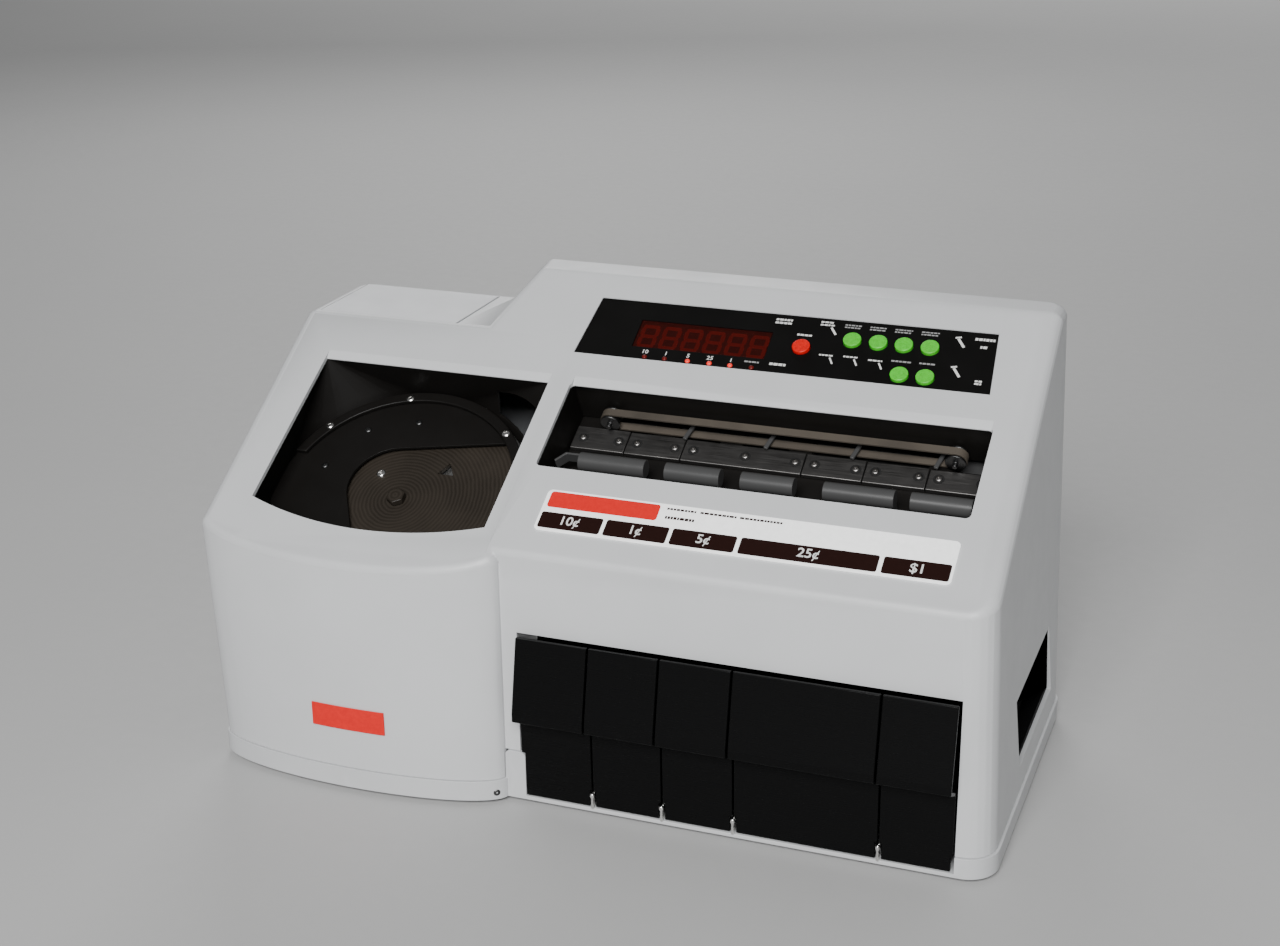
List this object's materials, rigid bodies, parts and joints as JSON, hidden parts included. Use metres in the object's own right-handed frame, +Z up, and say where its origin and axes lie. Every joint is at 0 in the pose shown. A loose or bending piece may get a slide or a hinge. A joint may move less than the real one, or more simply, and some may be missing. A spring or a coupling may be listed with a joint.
{
  "type": "coin sorting machine",
  "caption": "Desktop coin counter and sorter: sloped case with a coin hopper, a sorting track behind a window, a key panel with digits, and a row of pull-out coin drawers.",
  "frame": {"origin": "on the surface the machine stands on, under the middle of its outer box", "axes": "+X to the user's right along the long side, +Y from the drawers to the back, +Z up"},
  "size_m": [0.4821, 0.2426, 0.2699],
  "materials": {
    "case_plastic": "light grey moulded, fine texture",
    "rear_sheet": "powder coated",
    "badge_red": "printed, satin",
    "black_gloss": "semi-gloss",
    "rubber": "matte",
    "drawer_black": "semi-gloss",
    "steel": "bare",
    "circuit": "solder mask",
    "transformer": "varnished laminations",
    "inner_black": "satin",
    "disc_tan": "satin, worn",
    "dark_steel": "blackened",
    "motor_metal": "zinc plated",
    "plate_grey": "satin",
    "belt": "matte",
    "chute_grey": "semi-gloss",
    "panel_black": "satin overlay",
    "display_red": "tinted, clear gloss",
    "display_dark": "matte",
    "label_white": "printed film",
    "key_red": "gloss",
    "key_green": "gloss"
  },
  "bodies": {
    "cabinet": {"top_cover": "case_plastic", "base_pan": "case_plastic", "rear_panel": "rear_sheet", "printer_bay_cover": "case_plastic", "front_badge": "badge_red", "grip_right": "black_gloss", "grip_left": "black_gloss", "rubber_foot_1": "rubber", "rubber_foot_2": "rubber", "rubber_foot_3": "rubber", "rubber_foot_4": "rubber", "drawer_guides": "steel", "power_inlet": "black_gloss", "main_board": "circuit", "power_transformer": "transformer", "hopper_bowl": "inner_black", "disc_shroud": "inner_black", "shroud_ring": "inner_black", "motor_plate": "steel", "disc_gearmotor": "motor_metal", "track_deck": "inner_black", "sort_plate_1": "plate_grey", "sort_plate_2": "plate_grey", "sort_plate_3": "plate_grey", "sort_plate_4": "plate_grey", "sort_plate_5": "plate_grey", "sort_plate_6": "plate_grey", "transport_belt": "belt", "belt_beam": "inner_black", "belt_motor": "motor_metal", "coin_chute_1": "chute_grey", "coin_chute_2": "chute_grey", "coin_chute_3": "chute_grey", "coin_chute_4": "chute_grey", "coin_chute_5": "chute_grey", "side_plate_left": "steel", "side_plate_right": "steel", "control_panel": "panel_black", "display_window": "display_red", "display_module": "display_dark", "control_board": "circuit", "label_plate": "label_white"},
    "drawer_1": {"coin_drawer_1": "drawer_black"},
    "drawer_2": {"coin_drawer_2": "drawer_black"},
    "drawer_3": {"coin_drawer_3": "drawer_black"},
    "drawer_4": {"coin_drawer_4": "drawer_black"},
    "drawer_5": {"coin_drawer_5": "drawer_black"},
    "stop_button_cap": {"stop_button": "key_red"},
    "top_key_1_cap": {"top_key_1": "key_green"},
    "top_key_2_cap": {"top_key_2": "key_green"},
    "top_key_3_cap": {"top_key_3": "key_green"},
    "top_key_4_cap": {"top_key_4": "key_green"},
    "lower_key_1_cap": {"lower_key_1": "key_green"},
    "lower_key_2_cap": {"lower_key_2": "key_green"},
    "disc_assembly": {"hopper_disc": "disc_tan", "disc_nut": "dark_steel", "disc_shaft": "steel"},
    "drive_wheel": {"drive_pulley": "steel"},
    "idler_wheel": {"idler_pulley": "steel"},
    "rocker": {"power_rocker": "black_gloss"}
  },
  "joints": [
    {"name": "drawer_1_slide", "type": "slide", "parent": "cabinet", "child": "drawer_1", "axis": [0, -1, 0], "range_m": [0, 0.14]},
    {"name": "drawer_2_slide", "type": "slide", "parent": "cabinet", "child": "drawer_2", "axis": [0, -1, 0], "range_m": [0, 0.14]},
    {"name": "drawer_3_slide", "type": "slide", "parent": "cabinet", "child": "drawer_3", "axis": [0, -1, 0], "range_m": [0, 0.14]},
    {"name": "drawer_4_slide", "type": "slide", "parent": "cabinet", "child": "drawer_4", "axis": [0, -1, 0], "range_m": [0, 0.14]},
    {"name": "drawer_5_slide", "type": "slide", "parent": "cabinet", "child": "drawer_5", "axis": [0, -1, 0], "range_m": [0, 0.14]},
    {"name": "stop_button_press", "type": "slide", "parent": "cabinet", "child": "stop_button_cap", "axis": [0, 0.506, -0.8625], "range_m": [0, 0.0012], "stiffness_N_per_m": 500, "springref_m": -0.0004},
    {"name": "top_key_1_press", "type": "slide", "parent": "cabinet", "child": "top_key_1_cap", "axis": [0, 0.506, -0.8625], "range_m": [0, 0.0012], "stiffness_N_per_m": 500, "springref_m": -0.0004},
    {"name": "top_key_2_press", "type": "slide", "parent": "cabinet", "child": "top_key_2_cap", "axis": [0, 0.506, -0.8625], "range_m": [0, 0.0012], "stiffness_N_per_m": 500, "springref_m": -0.0004},
    {"name": "top_key_3_press", "type": "slide", "parent": "cabinet", "child": "top_key_3_cap", "axis": [0, 0.506, -0.8625], "range_m": [0, 0.0012], "stiffness_N_per_m": 500, "springref_m": -0.0004},
    {"name": "top_key_4_press", "type": "slide", "parent": "cabinet", "child": "top_key_4_cap", "axis": [0, 0.506, -0.8625], "range_m": [0, 0.0012], "stiffness_N_per_m": 500, "springref_m": -0.0004},
    {"name": "lower_key_1_press", "type": "slide", "parent": "cabinet", "child": "lower_key_1_cap", "axis": [0, 0.506, -0.8625], "range_m": [0, 0.0012], "stiffness_N_per_m": 500, "springref_m": -0.0004},
    {"name": "lower_key_2_press", "type": "slide", "parent": "cabinet", "child": "lower_key_2_cap", "axis": [0, 0.506, -0.8625], "range_m": [0, 0.0012], "stiffness_N_per_m": 500, "springref_m": -0.0004},
    {"name": "disc_spin", "type": "hinge", "parent": "cabinet", "child": "disc_assembly", "pos_m": [-0.1398, -0.03772, 0.15511], "axis": [0, -0.506, 0.8625], "continuous": true},
    {"name": "drive_pulley_spin", "type": "hinge", "parent": "cabinet", "child": "drive_wheel", "pos_m": [0.1862, 0.02322, 0.19944], "axis": [0, 0.8625, 0.506], "continuous": true},
    {"name": "idler_pulley_spin", "type": "hinge", "parent": "cabinet", "child": "idler_wheel", "pos_m": [-0.0238, 0.02322, 0.19944], "axis": [0, 0.8625, 0.506], "continuous": true},
    {"name": "power_rocker_tilt", "type": "hinge", "parent": "cabinet", "child": "rocker", "pos_m": [0.2017, 0.1168, 0.055], "axis": [1, 0, 0], "range_deg": [0, 16]}
  ],
  "couplings": [
    {"joint": "idler_pulley_spin", "follows": "drive_pulley_spin", "ratio": 1}
  ]
}
